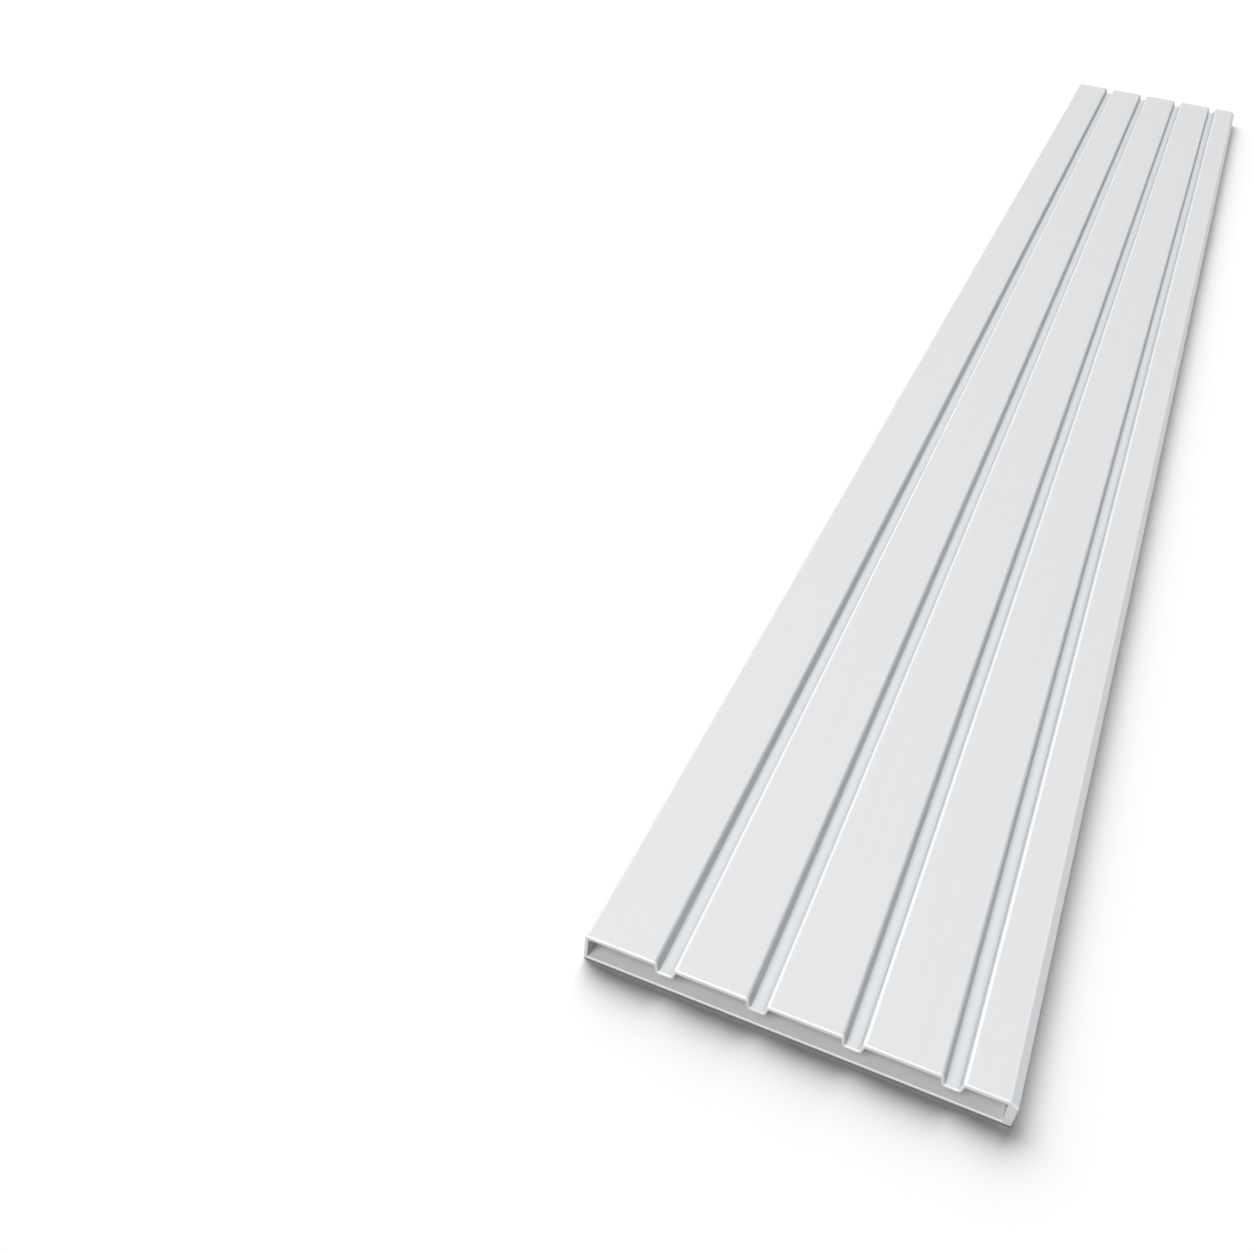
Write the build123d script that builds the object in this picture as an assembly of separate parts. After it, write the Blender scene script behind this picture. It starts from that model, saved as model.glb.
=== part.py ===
from build123d import *
from math import atan2, cos, sin, tan
import os

# Hollow grooved PVC wall panel: one extrusion, sawn square to length, with its hollow open at both ends.
# Millimetres. The panel lies on its flat back with the grooved face up (+Z).
# X runs across the width and Y along the length. The origin is the middle of the back face.

# Length of the sawn panel, and its thickness from the flat back to the face.
LENGTH = 1200.0
THICKNESS = 12.0

# The face: full strips, each followed by a groove, then a narrower strip at the bevelled edge.
FACE_STRIP = 26.6
EDGE_STRIP = 14.8
GROOVE_COUNT = 4

# A groove widens from its floor to the face, because each of its walls leans out by the run.
GROOVE_FLOOR = 4.6
GROOVE_WALL_RUN = 0.9
GROOVE_DEPTH = 4.2

# Bevel between the face and the right-hand edge.
BEVEL_WIDTH = 3.2
BEVEL_DROP = 2.1

# Walls of the extrusion: under the strips, round the grooves, at the back and at the two edges.
FACE_SKIN = 1.9
GROOVE_SKIN = 1.2
BACK_SKIN = 1.2
LEFT_WALL = 1.5
RIGHT_WALL = 3.4

# Rounded corners of the section, and the eased rim of the two sawn ends.
STRIP_EDGE_RADIUS = 1.4
GROOVE_CORNER_RADIUS = 0.3
BEVEL_TOP_RADIUS = 1.5
EDGE_CORNER_RADIUS = 0.7
CAVITY_CORNER_RADIUS = 0.4
END_EASE = 0.6

# What follows from these sizes.
GROOVE_MOUTH = GROOVE_FLOOR + 2 * GROOVE_WALL_RUN
PITCH = FACE_STRIP + GROOVE_MOUTH
PANEL_WIDTH = GROOVE_COUNT * PITCH + EDGE_STRIP + BEVEL_WIDTH
LEFT = -PANEL_WIDTH / 2
RIGHT = PANEL_WIDTH / 2
WALL_LEAN = atan2(GROOVE_WALL_RUN, GROOVE_DEPTH)


def groove_corners(skin, top):
    """Corners of every groove, left to right, on the line `skin` inside its walls and floor, up to `top`."""
    half_floor = GROOVE_FLOOR / 2 + skin * (1 - sin(WALL_LEAN)) / cos(WALL_LEAN)
    floor = THICKNESS - GROOVE_DEPTH - skin
    half_mouth = half_floor + (top - floor) * tan(WALL_LEAN)
    corners = []
    for number in range(GROOVE_COUNT):
        middle = LEFT + FACE_STRIP + GROOVE_MOUTH / 2 + number * PITCH
        corners += [
            (middle - half_mouth, top),
            (middle - half_floor, floor),
            (middle + half_floor, floor),
            (middle + half_mouth, top),
        ]
    return corners


def rounded_face(corners, radii):
    """Face in the XZ plane, with one radius for each of its corners."""
    points = [(x, 0, z) for x, z in corners]
    return make_face(FilletPolyline(*points, radius=radii, close=True))


def outer_section():
    corners = [
        (LEFT, 0),
        (LEFT, THICKNESS),
        *groove_corners(0, THICKNESS),
        (RIGHT - BEVEL_WIDTH, THICKNESS),
        (RIGHT, THICKNESS - BEVEL_DROP),
        (RIGHT, 0),
    ]
    groove = [STRIP_EDGE_RADIUS, GROOVE_CORNER_RADIUS, GROOVE_CORNER_RADIUS, STRIP_EDGE_RADIUS]
    left_edge = [EDGE_CORNER_RADIUS, STRIP_EDGE_RADIUS]
    right_edge = [BEVEL_TOP_RADIUS, EDGE_CORNER_RADIUS, EDGE_CORNER_RADIUS]
    return rounded_face(corners, left_edge + groove * GROOVE_COUNT + right_edge)


def cavity_section():
    ceiling = THICKNESS - FACE_SKIN
    corners = [
        (LEFT + LEFT_WALL, BACK_SKIN),
        (LEFT + LEFT_WALL, ceiling),
        *groove_corners(GROOVE_SKIN, ceiling),
        (RIGHT - RIGHT_WALL, ceiling),
        (RIGHT - RIGHT_WALL, BACK_SKIN),
    ]
    under_groove = GROOVE_CORNER_RADIUS + GROOVE_SKIN
    groove = [CAVITY_CORNER_RADIUS, under_groove, under_groove, CAVITY_CORNER_RADIUS]
    edge = [CAVITY_CORNER_RADIUS, CAVITY_CORNER_RADIUS]
    return rounded_face(corners, edge + groove * GROOVE_COUNT + edge)


def drawn_out(section):
    """The section drawn out to the panel's length, half each way from the middle."""
    return extrude(section, LENGTH / 2, dir=(0, 1, 0), both=True)


def grooved_panel():
    body = drawn_out(outer_section())
    end_rims = body.faces().filter_by(Axis.Y).edges()
    return fillet(end_rims, END_EASE) - drawn_out(cavity_section())


os.makedirs("parts", exist_ok=True)
panel = grooved_panel()
export_step(panel, "parts/grooved_panel.step")
print(f"grooved_panel: {PANEL_WIDTH:.1f} mm wide, {panel.volume / 1000:.1f} cm3")
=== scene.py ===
from math import atan2, ceil, cos, pi, radians, sin, tan

import bpy
from mathutils import Matrix, Vector
from mathutils.geometry import tessellate_polygon


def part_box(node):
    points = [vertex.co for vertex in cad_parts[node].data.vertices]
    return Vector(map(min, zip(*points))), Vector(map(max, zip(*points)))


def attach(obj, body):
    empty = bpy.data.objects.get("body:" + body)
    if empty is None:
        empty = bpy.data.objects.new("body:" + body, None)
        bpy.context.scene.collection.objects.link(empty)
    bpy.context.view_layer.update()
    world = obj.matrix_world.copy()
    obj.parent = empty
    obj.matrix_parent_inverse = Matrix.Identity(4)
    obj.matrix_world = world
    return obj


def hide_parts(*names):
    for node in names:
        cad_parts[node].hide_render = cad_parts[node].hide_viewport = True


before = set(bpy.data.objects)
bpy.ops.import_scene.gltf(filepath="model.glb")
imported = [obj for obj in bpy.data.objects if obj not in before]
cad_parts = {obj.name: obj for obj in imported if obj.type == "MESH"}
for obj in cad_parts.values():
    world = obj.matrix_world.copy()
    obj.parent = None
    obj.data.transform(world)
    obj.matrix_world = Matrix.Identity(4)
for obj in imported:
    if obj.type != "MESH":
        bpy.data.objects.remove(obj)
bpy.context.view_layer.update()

# The panel's section
# One hollow extrusion of rigid PVC: the compound is pushed through a die, then drawn through a cooled
# sleeve that sets the strips, the grooves with leaning walls and the rounded edges, all along the panel.
MM = 0.001
FACE_STRIP = 26.6 * MM
GROOVE_FLOOR = 4.6 * MM
GROOVE_WALL_RUN = 0.9 * MM
GROOVE_DEPTH = 4.2 * MM
GROOVE_COUNT = 4
BEVEL_WIDTH = 3.2 * MM
BEVEL_DROP = 2.1 * MM
FACE_SKIN = 1.9 * MM
GROOVE_SKIN = 1.2 * MM
BACK_SKIN = 1.2 * MM
LEFT_WALL = 1.5 * MM
RIGHT_WALL = 3.4 * MM
STRIP_EDGE_RADIUS = 1.4 * MM
GROOVE_CORNER_RADIUS = 0.3 * MM
BEVEL_TOP_RADIUS = 1.5 * MM
EDGE_CORNER_RADIUS = 0.7 * MM
CAVITY_CORNER_RADIUS = 0.4 * MM
ARC_STEP = radians(9)
# Painted light and shade on each round, and on each flat at even steps along it, which also sets its gloss:
# -1 is painted shade, a greyer and duller skin, 0 is plain satin and 1 is a painted highlight, a whiter and
# glossier one.
# The highlight is painted on the outer edges, on the left edge of each strip and, more faintly, on the bevel.
# The shade is painted in the grooves, deepest on their right-hand walls and at their feet, and faintly on the
# strips' right-hand edges.
HIGHLIGHT_ROUND = 1
PART_SHADED_ROUND = -0.5
SHADED_ROUND = -1
STRIP_POLISH = (0, 0)
GROOVE_LEFT_SHADE = (-0.6, -0.6)
GROOVE_FLOOR_SHADE = (-0.1, 0, -0.2, -0.4, -1)
SHADED_FLAT = (-1, -1)
BEVEL_HIGHLIGHT = (0.45, 0.45)

low_corner, high_corner = (Vector(corner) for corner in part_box("grooved_panel"))
left, near_end, back = low_corner
right, far_end, face = high_corner
groove_mouth = GROOVE_FLOOR + 2 * GROOVE_WALL_RUN
wall_lean = atan2(GROOVE_WALL_RUN, GROOVE_DEPTH)


def groove_corners(skin, top):
    """Corners of every groove, left to right, on the line `skin` inside its walls and floor, up to `top`."""
    half_floor = GROOVE_FLOOR / 2 + skin * (1 - sin(wall_lean)) / cos(wall_lean)
    floor_height = face - GROOVE_DEPTH - skin
    half_mouth = half_floor + (top - floor_height) * tan(wall_lean)
    corners = []
    for number in range(GROOVE_COUNT):
        middle = left + FACE_STRIP + groove_mouth / 2 + number * (FACE_STRIP + groove_mouth)
        corners += [
            (middle - half_mouth, top),
            (middle - half_floor, floor_height),
            (middle + half_floor, floor_height),
            (middle + half_mouth, top),
        ]
    return corners


def rounded_outline(corners, radii, round_painted_light, flat_painted_light):
    """Points of a closed outline with rounded corners, clockwise, each with its outward normal and polish.

    The third argument is the painted light and shade in the middle of each round, and the fourth that along
    the flat after it; both also set the gloss. The flats' part fades out over the first and the last sixth of
    a round.
    """
    corners = [Vector(corner) for corner in corners]
    rounds = []
    for number, (corner, radius, middle_painted_light) in enumerate(zip(corners, radii, round_painted_light)):
        arriving = (corner - corners[number - 1]).normalized()
        leaving = (corners[(number + 1) % len(corners)] - corner).normalized()
        turn = atan2(arriving.cross(leaving), arriving.dot(leaving))
        side = 1 if turn < 0 else -1
        normal = Vector((-arriving.y, arriving.x))
        start = corner - arriving * radius * tan(abs(turn) / 2)
        centre = start - normal * radius * side
        steps = ceil(abs(turn) / ARC_STEP)
        rounds.append([])
        for step in range(steps + 1):
            share = step / steps
            outward = Matrix.Rotation(turn * share, 2) @ normal
            flats_share = 1 - min(1, 2 * sin(pi * share))
            flats = (1 - share) * flat_painted_light[number - 1][-1] + share * flat_painted_light[number][0]
            painted_light = flats * flats_share + middle_painted_light * (1 - flats_share)
            rounds[-1].append((centre + outward * radius * side, outward, painted_light))
    outline = []
    for number, turned in enumerate(rounds):
        outline += turned
        start, outward = turned[-1][:2]
        stop = rounds[(number + 1) % len(rounds)][0][0]
        along_flat = flat_painted_light[number]
        for step, painted_light in enumerate(along_flat[1:-1], 1):
            outline.append((start.lerp(stop, step / (len(along_flat) - 1)), outward, painted_light))
    return outline


ceiling = face - FACE_SKIN
groove_radii = [STRIP_EDGE_RADIUS, GROOVE_CORNER_RADIUS, GROOVE_CORNER_RADIUS, STRIP_EDGE_RADIUS]
outer_outline = rounded_outline(
    [
        (left, back),
        (left, face),
        *groove_corners(0, face),
        (right - BEVEL_WIDTH, face),
        (right, face - BEVEL_DROP),
        (right, back),
    ],
    [EDGE_CORNER_RADIUS, STRIP_EDGE_RADIUS]
    + groove_radii * GROOVE_COUNT
    + [BEVEL_TOP_RADIUS, EDGE_CORNER_RADIUS, EDGE_CORNER_RADIUS],
    [HIGHLIGHT_ROUND] * 2
    + [PART_SHADED_ROUND, SHADED_ROUND, SHADED_ROUND, HIGHLIGHT_ROUND] * GROOVE_COUNT
    + [HIGHLIGHT_ROUND] * 3,
    [STRIP_POLISH] * 2
    + [GROOVE_LEFT_SHADE, GROOVE_FLOOR_SHADE, SHADED_FLAT, STRIP_POLISH] * GROOVE_COUNT
    + [BEVEL_HIGHLIGHT, STRIP_POLISH, STRIP_POLISH],
)
under_groove = GROOVE_CORNER_RADIUS + GROOVE_SKIN
cavity_corners = [
    (left + LEFT_WALL, back + BACK_SKIN),
    (left + LEFT_WALL, ceiling),
    *groove_corners(GROOVE_SKIN, ceiling),
    (right - RIGHT_WALL, ceiling),
    (right - RIGHT_WALL, back + BACK_SKIN),
]
cavity_outline = rounded_outline(
    cavity_corners,
    [CAVITY_CORNER_RADIUS] * 2
    + [CAVITY_CORNER_RADIUS, under_groove, under_groove, CAVITY_CORNER_RADIUS] * GROOVE_COUNT
    + [CAVITY_CORNER_RADIUS] * 2,
    [SHADED_ROUND] * len(cavity_corners),
    [SHADED_FLAT] * len(cavity_corners),
)

# The panel's length
# The section is drawn out to its length and sawn square. A blade scrapes off the saw's burr, which leaves a
# narrow facet round the outside of each end, and a narrower one round the hollow. The facets are whiter,
# partly as scraped PVC is and partly as a painted highlight.
SCRAPE_LENGTH = 0.4 * MM
RIM_SCRAPE = 0.4 * MM
HOLLOW_SCRAPE = 0.2 * MM
STATION_SPACING = 40 * MM
SATIN, SCRAPED, SAWN, INSIDE = range(4)
NEAR, FAR = -1, 1

plain_start = near_end + SCRAPE_LENGTH
plain_length = far_end - SCRAPE_LENGTH - plain_start
spans = round(plain_length / STATION_SPACING)
stations = [(near_end, NEAR)]
stations += [(plain_start + plain_length * number / spans, 0) for number in range(spans + 1)]
stations += [(far_end, FAR)]

points = []
painted_light_and_gloss = []
faces = []
face_finish = []
corner_normals = []


def wall(outline, side, scrape, finish):
    """Sweeps an outline along the panel, and returns its loops of points at the two ends.

    `side` is 1 for the outer wall and -1 for the hollow.
    """
    first = len(points)
    around = len(outline)
    for along, end in stations:
        for place, outward, painted_light in outline:
            scraped = place - outward * side * scrape * abs(end)
            points.append((scraped.x, along, scraped.y))
            painted_light_and_gloss.append(painted_light)
    for number in range(len(stations) - 1):
        end = stations[number][1] + stations[number + 1][1]
        tilt = end * atan2(scrape, SCRAPE_LENGTH)
        for corner in range(around):
            after = (corner + 1) % around
            here = first + number * around
            there = here + around
            quad = [here + corner, here + after, there + after, there + corner][::side]
            faces.append(quad)
            face_finish.append(SCRAPED if end else finish)
            for point in quad:
                outward = outline[(point - first) % around][1] * side
                corner_normals.append(Vector((outward.x * cos(tilt), sin(tilt), outward.y * cos(tilt))))
    last = len(points) - around
    return {NEAR: range(first, first + around), FAR: range(last, last + around)}


def sawn_end(loops, end):
    """Flat triangles of a sawn end, between the outer loop and the hollow's."""
    rim = [point for loop in loops for point in loop[end]]
    for triangle in tessellate_polygon([[Vector(points[point]) for point in loop[end]] for loop in loops]):
        corners = [rim[number] for number in triangle]
        first, second, third = (Vector(points[point]) for point in corners)
        if (second - first).cross(third - first).y * end < 0:
            corners.reverse()
        faces.append(corners)
        face_finish.append(SAWN)
        corner_normals.extend([Vector((0, end, 0))] * 3)


walls = [wall(outer_outline, 1, RIM_SCRAPE, SATIN), wall(cavity_outline, -1, HOLLOW_SCRAPE, INSIDE)]
sawn_end(walls, NEAR)
sawn_end(walls, FAR)
panel_mesh = bpy.data.meshes.new("grooved_panel_extrusion")
panel_mesh.from_pydata(points, [], faces, shade_flat=False)
panel_mesh.polygons.foreach_set("material_index", face_finish)
panel_mesh.normals_split_custom_set(corner_normals)
# The painted light and shade of each point, which the satin skin reads for its colour and gloss.
panel_mesh.attributes.new("painted_light_and_gloss", "FLOAT", "POINT").data.foreach_set("value", painted_light_and_gloss)
panel = bpy.data.objects.new("grooved_panel_extrusion", panel_mesh)
bpy.context.scene.collection.objects.link(panel)
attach(panel, "root")
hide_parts("grooved_panel")

# The panel's finish
# White rigid PVC as it leaves the cooled sleeve: a satin skin with faint draw lines along the length.
# The sawn ends are cut across by the blade, and the hollow, which no sleeve touches, keeps the die's lines.
PVC_IOR = 1.53
# Places of a Mix node's colour sockets.
MIX_FACTOR, MIX_FIRST, MIX_SECOND, MIX_COLOUR = 0, 6, 7, 2


def linear(hex_colour):
    """Linear colour of an sRGB hex value."""
    channels = [int(hex_colour[place:place + 2], 16) / 255 for place in (1, 3, 5)]
    return [c / 12.92 if c <= 0.04045 else ((c + 0.055) / 1.055) ** 2.4 for c in channels] + [1.0]


def add_node(tree, kind, settings=None, inputs=None):
    """Adds a node with its settings, and sets each input to a value or links it to a socket."""
    node = tree.nodes.new(kind)
    for name, value in (settings or {}).items():
        setattr(node, name, value)
    for name, value in (inputs or {}).items():
        if isinstance(value, bpy.types.NodeSocket):
            tree.links.new(value, node.inputs[name])
        else:
            node.inputs[name].default_value = value
    return node


def pvc_material(name):
    """A material with a bare PVC shader, and object coordinates in millimetres for its patterns."""
    material = bpy.data.materials.new(name)
    material.use_nodes = True
    tree = material.node_tree
    tree.nodes.clear()
    shader = add_node(tree, "ShaderNodeBsdfPrincipled", None, {"IOR": PVC_IOR})
    add_node(tree, "ShaderNodeOutputMaterial", None, {"Surface": shader.outputs["BSDF"]})
    place = add_node(tree, "ShaderNodeTexCoord")
    in_mm = add_node(
        tree,
        "ShaderNodeVectorMath",
        {"operation": "SCALE"},
        {"Vector": place.outputs["Object"], "Scale": 1 / MM},
    )
    panel_mesh.materials.append(material)
    return tree, shader, in_mm.outputs["Vector"]


def lengthwise_lines(tree, in_mm, width, length):
    """Lines along the panel, about `width` mm across and `length` mm long, as a value from 0 to 1."""
    stretched = add_node(
        tree, "ShaderNodeMapping", None, {"Vector": in_mm, "Scale": (1 / width, 1 / length, 1 / width)}
    )
    lines = add_node(tree, "ShaderNodeTexNoise", None, {"Vector": stretched.outputs["Vector"], "Scale": 1.0})
    return lines.outputs["Fac"]


# Satin skin: a soft sheen, with draw lines that are a few hundredths of a millimetre wide in the real one and
# are drawn wider to show. The outer edges, the left edge of each strip and the bevel are glossier and painted
# whiter as a highlight. The grooves are duller and painted greyer as shade, the walls more so than the
# floors, and the strips' right-hand edges a little so.
SATIN_WHITE = "#EAEBEC"
SATIN_STREAK = "#E6E7E8"
HIGHLIGHT_WHITE = "#FAFAFB"
SHADE_GREY = "#CDD1D4"
UNTOUCHED_ROUGHNESS = 0.90
SATIN_ROUGHNESS = 0.60
STREAK_ROUGHNESS = 0.54
POLISHED_ROUGHNESS = 0.28
DRAW_LINE_WIDTH = 1.6
DRAW_LINE_LENGTH = 2500
DRAW_LINE_HEIGHT = 0.004
tree, shader, in_mm = pvc_material("extruded_rigid_pvc_satin")
draw_lines = lengthwise_lines(tree, in_mm, DRAW_LINE_WIDTH, DRAW_LINE_LENGTH)
# The painted light and shade of each point: greyer towards -1 and whiter towards 1, with the gloss following.
painted_light = add_node(tree, "ShaderNodeAttribute", {"attribute_name": "painted_light_and_gloss"})
flats = add_node(
    tree,
    "ShaderNodeMix",
    {"data_type": "RGBA"},
    {MIX_FACTOR: draw_lines, MIX_FIRST: linear(SATIN_WHITE), MIX_SECOND: linear(SATIN_STREAK)},
)
unshaded = add_node(tree, "ShaderNodeMath", {"operation": "ADD"}, {0: painted_light.outputs["Fac"], 1: 1.0})
painted_shade = add_node(
    tree,
    "ShaderNodeMix",
    {"data_type": "RGBA"},
    {
        MIX_FACTOR: unshaded.outputs["Value"],
        MIX_FIRST: linear(SHADE_GREY),
        MIX_SECOND: flats.outputs[MIX_COLOUR],
    },
)
colour = add_node(
    tree,
    "ShaderNodeMix",
    {"data_type": "RGBA"},
    {
        MIX_FACTOR: painted_light.outputs["Fac"],
        MIX_FIRST: painted_shade.outputs[MIX_COLOUR],
        MIX_SECOND: linear(HIGHLIGHT_WHITE),
    },
)
flats_roughness = add_node(
    tree,
    "ShaderNodeMapRange",
    None,
    {"Value": draw_lines, "To Min": SATIN_ROUGHNESS, "To Max": STREAK_ROUGHNESS},
)
dullness = add_node(
    tree,
    "ShaderNodeMapRange",
    None,
    {
        "Value": unshaded.outputs["Value"],
        "To Min": UNTOUCHED_ROUGHNESS,
        "To Max": flats_roughness.outputs["Result"],
    },
)
roughness = add_node(
    tree,
    "ShaderNodeMapRange",
    None,
    {"Value": painted_light.outputs["Fac"], "To Min": dullness.outputs["Result"], "To Max": POLISHED_ROUGHNESS},
)
relief = add_node(tree, "ShaderNodeBump", None, {"Height": draw_lines, "Distance": DRAW_LINE_HEIGHT * MM})
tree.links.new(colour.outputs[MIX_COLOUR], shader.inputs["Base Color"])
tree.links.new(roughness.outputs["Result"], shader.inputs["Roughness"])
tree.links.new(relief.outputs["Normal"], shader.inputs["Normal"])

# Scraped rim: a blade drawn round the sawn end leaves a glossier facet with short nicks across it. It is
# whiter, partly as scraped PVC is and partly as a painted highlight.
SCRAPED_HIGHLIGHT_WHITE = "#FCFCFC"
SCRAPED_SHADE = "#F5F5F5"
SCRAPED_ROUGHNESS = 0.32
NICK_LENGTH = 1.2
tree, shader, in_mm = pvc_material("scraped_rigid_pvc")
nicks = add_node(tree, "ShaderNodeTexNoise", None, {"Vector": in_mm, "Scale": 1 / NICK_LENGTH})
colour = add_node(
    tree,
    "ShaderNodeMix",
    {"data_type": "RGBA"},
    {MIX_FACTOR: nicks.outputs["Fac"], MIX_FIRST: linear(SCRAPED_HIGHLIGHT_WHITE), MIX_SECOND: linear(SCRAPED_SHADE)},
)
tree.links.new(colour.outputs[MIX_COLOUR], shader.inputs["Base Color"])
shader.inputs["Roughness"].default_value = SCRAPED_ROUGHNESS

# Sawn end: the round blade leaves close arcs across the walls, drawn wider than they are so that they show.
SAWN_WHITE = "#F4F4F2"
SAWN_SHADE = "#EAEAE8"
SAWN_ROUGHNESS = 0.55
BLADE_RADIUS = 125
SAW_MARK_PITCH = 0.9
SAW_MARK_HEIGHT = 0.02
SAW_MARK_WANDER = 1.5
SAW_MARK_WANDER_SCALE = 0.4
# Rings in one unit of a wave texture at a scale of 1.
WAVE_TURNS = 20 / (2 * pi)
tree, shader, in_mm = pvc_material("sawn_rigid_pvc")
from_blade = add_node(
    tree, "ShaderNodeVectorMath", {"operation": "SUBTRACT"}, {0: in_mm, 1: (0, 0, BLADE_RADIUS)}
)
saw_marks = add_node(
    tree,
    "ShaderNodeTexWave",
    {"wave_type": "RINGS", "rings_direction": "Y"},
    {
        "Vector": from_blade.outputs["Vector"],
        "Scale": 1 / (SAW_MARK_PITCH * WAVE_TURNS),
        "Distortion": SAW_MARK_WANDER,
        "Detail Scale": SAW_MARK_WANDER_SCALE,
    },
)
colour = add_node(
    tree,
    "ShaderNodeMix",
    {"data_type": "RGBA"},
    {MIX_FACTOR: saw_marks.outputs["Fac"], MIX_FIRST: linear(SAWN_SHADE), MIX_SECOND: linear(SAWN_WHITE)},
)
relief = add_node(
    tree, "ShaderNodeBump", None, {"Height": saw_marks.outputs["Fac"], "Distance": SAW_MARK_HEIGHT * MM}
)
tree.links.new(colour.outputs[MIX_COLOUR], shader.inputs["Base Color"])
tree.links.new(relief.outputs["Normal"], shader.inputs["Normal"])
shader.inputs["Roughness"].default_value = SAWN_ROUGHNESS

# Hollow: no sleeve touches it, so it keeps the die's coarser lines. It is a little greyer than the skin,
# which paints some of the hollow's shade.
INSIDE_WHITE = "#E0E0DE"
INSIDE_STREAK = "#D6D6D4"
INSIDE_ROUGHNESS = 0.55
DIE_LINE_WIDTH = 2.5
DIE_LINE_LENGTH = 900
tree, shader, in_mm = pvc_material("extruded_rigid_pvc_inside")
die_lines = lengthwise_lines(tree, in_mm, DIE_LINE_WIDTH, DIE_LINE_LENGTH)
colour = add_node(
    tree,
    "ShaderNodeMix",
    {"data_type": "RGBA"},
    {MIX_FACTOR: die_lines, MIX_FIRST: linear(INSIDE_WHITE), MIX_SECOND: linear(INSIDE_STREAK)},
)
tree.links.new(colour.outputs[MIX_COLOUR], shader.inputs["Base Color"])
shader.inputs["Roughness"].default_value = INSIDE_ROUGHNESS

# The floor
# A plain matt white studio floor, level under the panel's back, which keeps the panel's shadow.
# It is white to the camera, and sends back to the panel the light of a greyer paper.
FLOOR_SIZE = 40.0
FLOOR_GAP = 0.05 * MM
FLOOR_SHOWN = "#FFFFFF"
FLOOR_BOUNCE = "#B4B4B4"
bpy.ops.mesh.primitive_plane_add(size=FLOOR_SIZE, location=(0, 0, back - FLOOR_GAP))
floor = bpy.context.object
floor.name = "studio_floor"
paper = bpy.data.materials.new("matt_white_paper")
paper.use_nodes = True
tree = paper.node_tree
tree.nodes.clear()
path = add_node(tree, "ShaderNodeLightPath")
shown = add_node(tree, "ShaderNodeBsdfDiffuse", None, {"Color": linear(FLOOR_SHOWN)})
bounced = add_node(tree, "ShaderNodeBsdfDiffuse", None, {"Color": linear(FLOOR_BOUNCE)})
mixed = add_node(tree, "ShaderNodeMixShader", None, {"Fac": path.outputs["Is Camera Ray"]})
tree.links.new(bounced.outputs["BSDF"], mixed.inputs[1])
tree.links.new(shown.outputs["BSDF"], mixed.inputs[2])
add_node(tree, "ShaderNodeOutputMaterial", None, {"Surface": mixed.outputs["Shader"]})
floor.data.materials.append(paper)

# The light
# A dim white room, with a soft key from the front left and a soft light from the far left. A low cool light
# from the right fills the groove walls that face it, and a low one from the left draws the strips' edges.
# The floor has a light of its own, which whitens it and throws the soft shadow.
AMBIENT = 0.11
AMBIENT_COLOUR = "#FFFFFF"
world = bpy.data.worlds.new("white_room")
bpy.context.scene.world = world
world.use_nodes = True
tree = world.node_tree
tree.nodes.clear()
path = add_node(tree, "ShaderNodeLightPath")
seen_or_mirrored = add_node(
    tree,
    "ShaderNodeMath",
    {"operation": "MAXIMUM"},
    {0: path.outputs["Is Camera Ray"], 1: path.outputs["Is Glossy Ray"]},
)
seen = add_node(
    tree,
    "ShaderNodeMath",
    {"operation": "MAXIMUM"},
    {0: seen_or_mirrored.outputs["Value"], 1: path.outputs["Is Transmission Ray"]},
)
strength = add_node(
    tree, "ShaderNodeMapRange", None, {"Value": seen.outputs["Value"], "To Min": AMBIENT, "To Max": 1.0}
)
room = add_node(
    tree,
    "ShaderNodeBackground",
    None,
    {"Color": linear(AMBIENT_COLOUR), "Strength": strength.outputs["Result"]},
)
add_node(tree, "ShaderNodeOutputWorld", None, {"Surface": room.outputs["Background"]})


def soft_sun(name, direction, level, width, colour="#FFFFFF"):
    """A far lamp, `width` degrees across, that lights white paper facing it to `level`."""
    lamp = bpy.data.lights.new(name, "SUN")
    lamp.energy = level * pi
    lamp.angle = radians(width)
    lamp.color = linear(colour)[:3]
    holder = bpy.data.objects.new(name, lamp)
    holder.rotation_euler = direction.to_track_quat("Z", "Y").to_euler()
    bpy.context.scene.collection.objects.link(holder)
    return holder


def towards(azimuth, elevation):
    """Direction to a lamp, from its azimuth round from +X and its height above the floor, in degrees."""
    around, up = radians(azimuth), radians(elevation)
    return Vector((cos(around) * cos(up), sin(around) * cos(up), sin(up)))


def only_on(lamp, target):
    """Flags a lamp off everything but `target`."""
    flagged = bpy.data.collections.new(lamp.name + "_falls_on")
    flagged.objects.link(target)
    lamp.light_linking.receiver_collection = flagged


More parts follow.
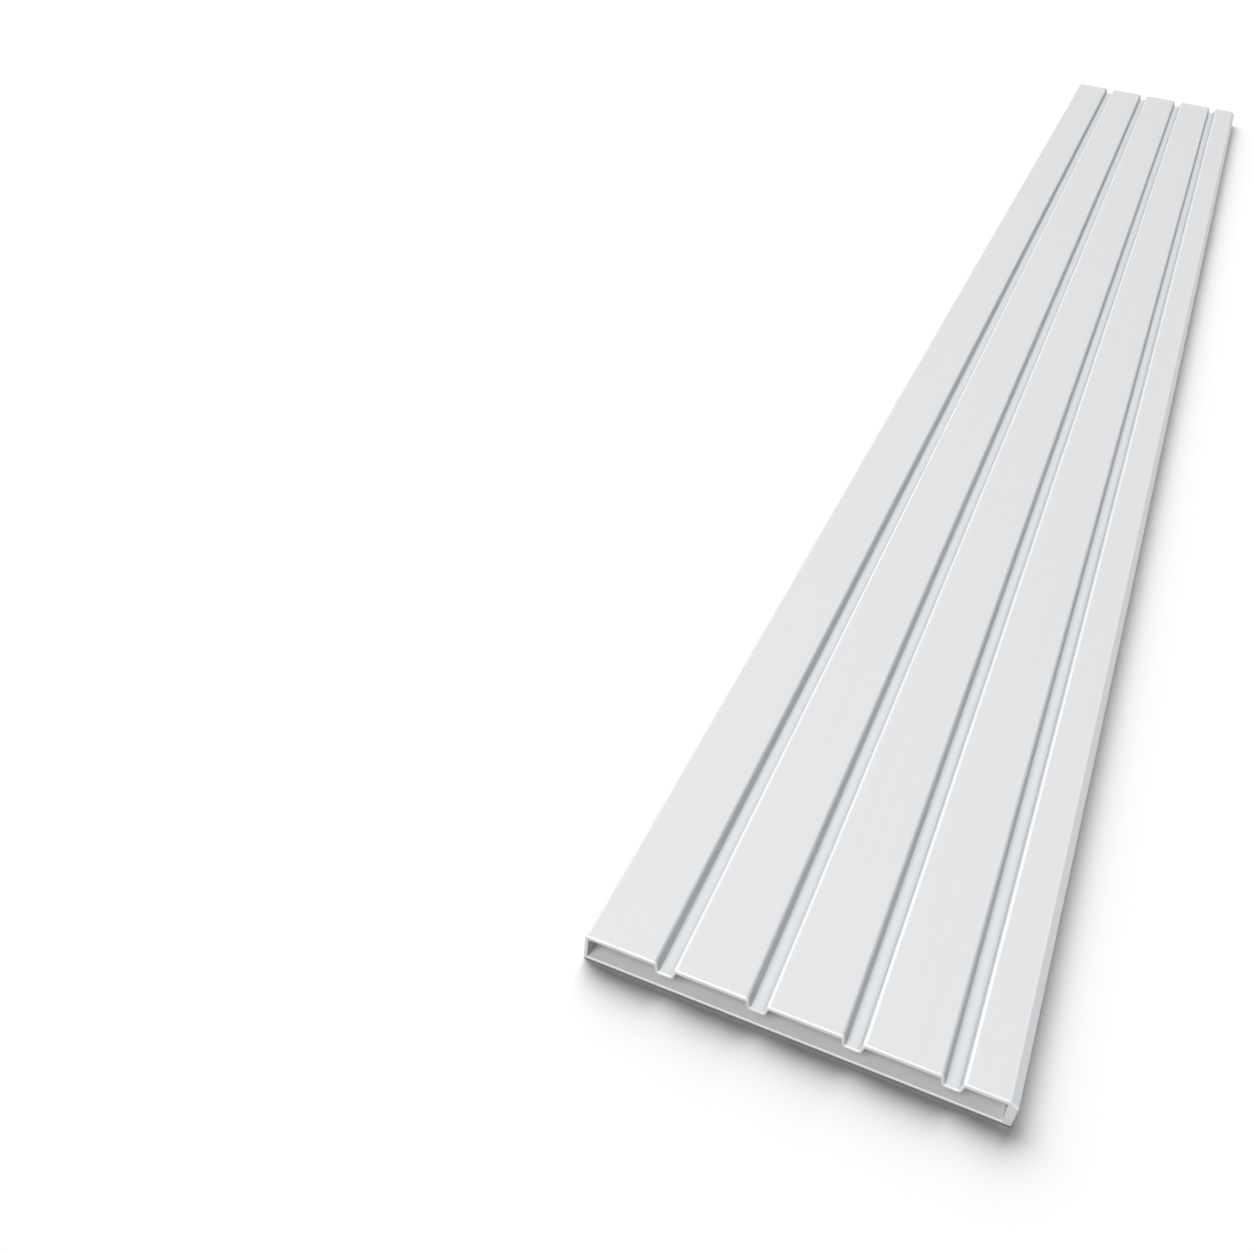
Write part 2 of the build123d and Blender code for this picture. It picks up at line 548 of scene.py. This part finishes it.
soft_sun("far_left_light", towards(azimuth=125, elevation=52), level=0.37, width=50)
right_fill = soft_sun("right_fill", towards(azimuth=0, elevation=15), level=0.07, width=40, colour="#B8E0F7")
only_on(right_fill, panel)
left_edge_light = soft_sun("left_edge_light", towards(azimuth=180, elevation=12), level=0.07, width=30)
only_on(left_edge_light, panel)
floor_light = soft_sun("floor_light", towards(azimuth=125, elevation=30), level=1.26, width=74)
only_on(floor_light, floor)

FRONT_KEY_LEVEL = 0.78
FRONT_KEY_DISTANCE = 8.0
FRONT_KEY_WIDTH = 34
near_middle = Vector(((left + right) / 2, near_end, face))
lamp = bpy.data.lights.new("front_key", "POINT")
lamp.energy = FRONT_KEY_LEVEL * 4 * pi**2 * FRONT_KEY_DISTANCE**2
lamp.shadow_soft_size = FRONT_KEY_DISTANCE * tan(radians(FRONT_KEY_WIDTH / 2))
front_key = bpy.data.objects.new("front_key", lamp)
front_key.location = near_middle + towards(azimuth=250, elevation=45) * FRONT_KEY_DISTANCE
bpy.context.scene.collection.objects.link(front_key)
only_on(front_key, panel)

# The camera
# It stands over the near end, a little to the right, and is rolled as the photograph's view is.
CAMERA_PLACE = Vector((0.03018, -0.87902, 0.37856))
CAMERA_AZIMUTH = radians(19.80)
CAMERA_ELEVATION = radians(37.87)
CAMERA_ROLL = radians(5.41)
LENS_LENGTH = 38.60
SENSOR_WIDTH = 36.0
NEAREST_SEEN = 0.01
lens = bpy.data.cameras.new("camera")
lens.sensor_width = SENSOR_WIDTH
lens.lens = LENS_LENGTH
lens.clip_start = NEAREST_SEEN
camera = bpy.data.objects.new("camera", lens)
turned = Matrix.Rotation(CAMERA_AZIMUTH, 4, "Z") @ Matrix.Rotation(pi / 2 - CAMERA_ELEVATION, 4, "X")
camera.matrix_world = Matrix.Translation(CAMERA_PLACE) @ turned @ Matrix.Rotation(CAMERA_ROLL, 4, "Z")
bpy.context.scene.collection.objects.link(camera)
bpy.context.scene.camera = camera
bpy.context.scene.view_settings.view_transform = "Standard"
